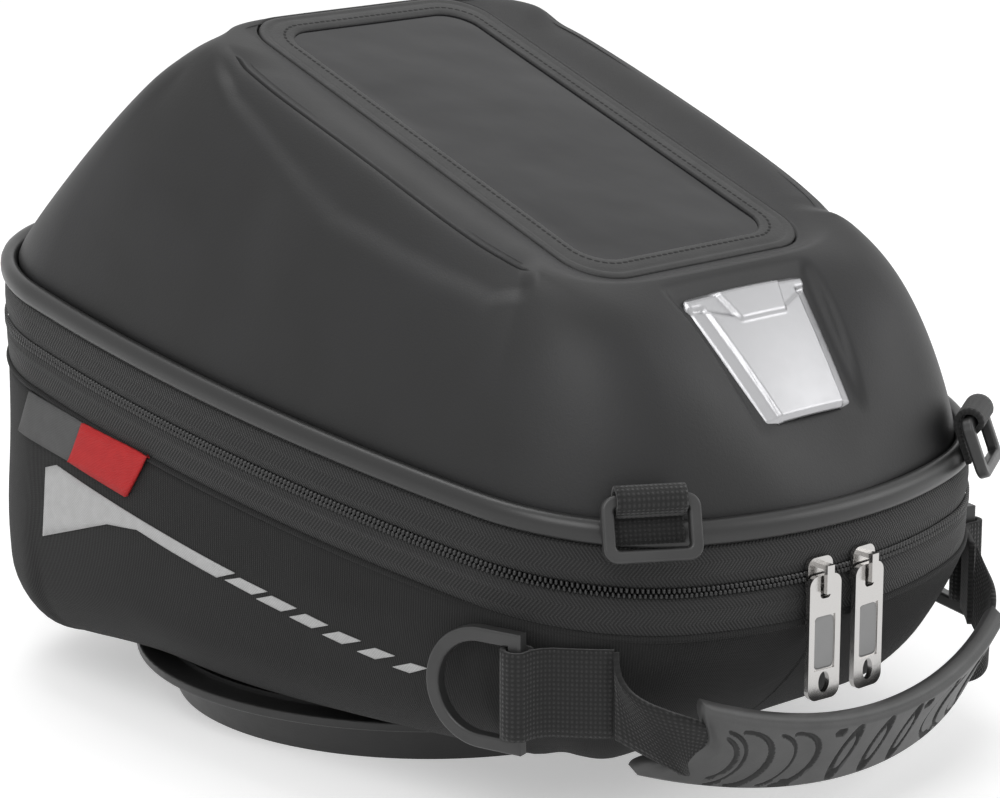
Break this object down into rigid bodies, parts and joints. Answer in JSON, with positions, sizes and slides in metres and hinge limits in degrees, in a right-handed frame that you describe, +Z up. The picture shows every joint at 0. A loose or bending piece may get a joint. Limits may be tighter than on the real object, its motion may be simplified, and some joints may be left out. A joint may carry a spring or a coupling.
{
  "type": "tank bag",
  "caption": "Teardrop tank bag: hard domed lid with a sloped phone window, zipped fabric tub, carry handle, side rings and a quick-lock ring underneath.",
  "frame": {"origin": "centre of the lock ring's underside, on the surface that the bag stands on", "axes": "+Z up, -Y towards the rider's end with the badge, zip pulls and handle, X across; symmetric about X = 0"},
  "size_m": [0.2142, 0.3095, 0.2078],
  "materials": {
    "soft_touch_shell": "satin soft-touch",
    "clear_film": "glossy",
    "border_cloth": "satin, stitched",
    "pocket_cloth": "matt",
    "badge_metal": "satin",
    "plated_steel": "bright",
    "steel": "plain",
    "piping_rubber": "smooth satin",
    "zip_tape": "herringbone weave",
    "zip_teeth": "moulded coil",
    "webbing": "coarse weave",
    "ring_plastic": "satin",
    "tub_cloth": "fine ribbed weave",
    "stiff_board": "matt",
    "lock_plastic": "fine grain",
    "reflective": "reflective satin",
    "tab_cloth": "woven, grey and red",
    "grip_rubber": "satin"
  },
  "bodies": {
    "tub": {"tub_shell": "tub_cloth", "floor_board": "stiff_board", "zip_tape_lower": "zip_tape", "zip_teeth_lower": "zip_teeth", "hinge_gusset_tub": "zip_tape", "lock_housing": "lock_plastic", "lock_flange": "lock_plastic", "spacer_pad": "piping_rubber", "backing_ring": "steel", "lock_screws": "steel", "side_tab": "tab_cloth", "zip_stops": "plated_steel", "reflector_left": "reflective", "reflector_right": "reflective", "side_strap_left": "webbing", "side_strap_right": "webbing"},
    "lid": {"lid_shell": "soft_touch_shell", "window_film": "clear_film", "window_border": "border_cloth", "pocket_tray": "pocket_cloth", "badge_plate": "badge_metal", "badge_studs": "steel", "lid_piping": "piping_rubber", "zip_tape_upper": "zip_tape", "zip_teeth_upper": "zip_teeth", "hinge_gusset_lid": "zip_tape", "ring_loop_left": "webbing", "ring_loop_right": "webbing"},
    "pocket_flap": {"pocket_flap": "pocket_cloth"},
    "handle": {"handle_grip": "grip_rubber", "handle_webbing_left": "webbing", "handle_webbing_right": "webbing"},
    "latch": {"latch_bolt": "lock_plastic", "release_tab": "ring_plastic", "latch_spring": "steel"},
    "lid_ring_left": {"lid_ring_left": "ring_plastic"},
    "d_ring_left": {"d_ring_left": "ring_plastic"},
    "slider_left": {"zip_slider_left": "plated_steel"},
    "pull_left": {"zip_pull_left": "plated_steel"},
    "lid_ring_right": {"lid_ring_right": "ring_plastic"},
    "d_ring_right": {"d_ring_right": "ring_plastic"},
    "slider_right": {"zip_slider_right": "plated_steel"},
    "pull_right": {"zip_pull_right": "plated_steel"}
  },
  "joints": [
    {"name": "lid_hinge", "type": "hinge", "parent": "tub", "child": "lid", "pos_m": [0, 0.11806, 0.11783], "axis": [-1, 0, 0], "range_deg": [0, 100]},
    {"name": "pocket_flap_hinge", "type": "hinge", "parent": "lid", "child": "pocket_flap", "pos_m": [0, -0.08842, 0.13695], "axis": [-1, 0, 0], "range_deg": [0, 60]},
    {"name": "slider_left_travel", "type": "hinge", "parent": "tub", "child": "slider_left", "pos_m": [0, -0.0073, 0.0989], "axis": [0, -0.1493, 0.9888], "range_deg": [-13, 0.8]},
    {"name": "pull_left_swing", "type": "hinge", "parent": "slider_left", "child": "pull_left", "pos_m": [-0.01358, -0.17611, 0.07385], "axis": [-0.9968, 0.0802, 0], "range_deg": [0, 150]},
    {"name": "slider_right_travel", "type": "hinge", "parent": "tub", "child": "slider_right", "pos_m": [0, -0.0073, 0.0989], "axis": [0, -0.1493, 0.9888], "range_deg": [-0.8, 16.5]},
    {"name": "pull_right_swing", "type": "hinge", "parent": "slider_right", "child": "pull_right", "pos_m": [0.00355, -0.17661, 0.07378], "axis": [-0.9998, -0.0209, 0], "range_deg": [0, 150]},
    {"name": "lid_ring_left_swing", "type": "hinge", "parent": "lid", "child": "lid_ring_left", "pos_m": [-0.06532, -0.16082, 0.10227], "axis": [-0.8526, 0.5225, 0], "range_deg": [0, 100]},
    {"name": "d_ring_left_swing", "type": "hinge", "parent": "tub", "child": "d_ring_left", "pos_m": [-0.0915, -0.13774, 0.049], "axis": [0, 0, 1], "range_deg": [0, 90]},
    {"name": "lid_ring_right_swing", "type": "hinge", "parent": "lid", "child": "lid_ring_right", "pos_m": [0.06532, -0.16082, 0.10227], "axis": [-0.8526, -0.5225, 0], "range_deg": [0, 100]},
    {"name": "d_ring_right_swing", "type": "hinge", "parent": "tub", "child": "d_ring_right", "pos_m": [0.0915, -0.13774, 0.049], "axis": [0, 0, -1], "range_deg": [0, 90]},
    {"name": "handle_swing", "type": "hinge", "parent": "tub", "child": "handle", "pos_m": [0, -0.161, 0.052], "axis": [-1, 0, 0], "range_deg": [0, 55], "deforming": ["handle_webbing_left", "handle_webbing_right"]},
    {"name": "latch_slide", "type": "slide", "parent": "tub", "child": "latch", "axis": [0, 1, 0], "range_m": [0, 0.004], "stiffness_N_per_m": 1500, "springref_m": -0.002, "deforming": ["latch_spring"]}
  ]
}
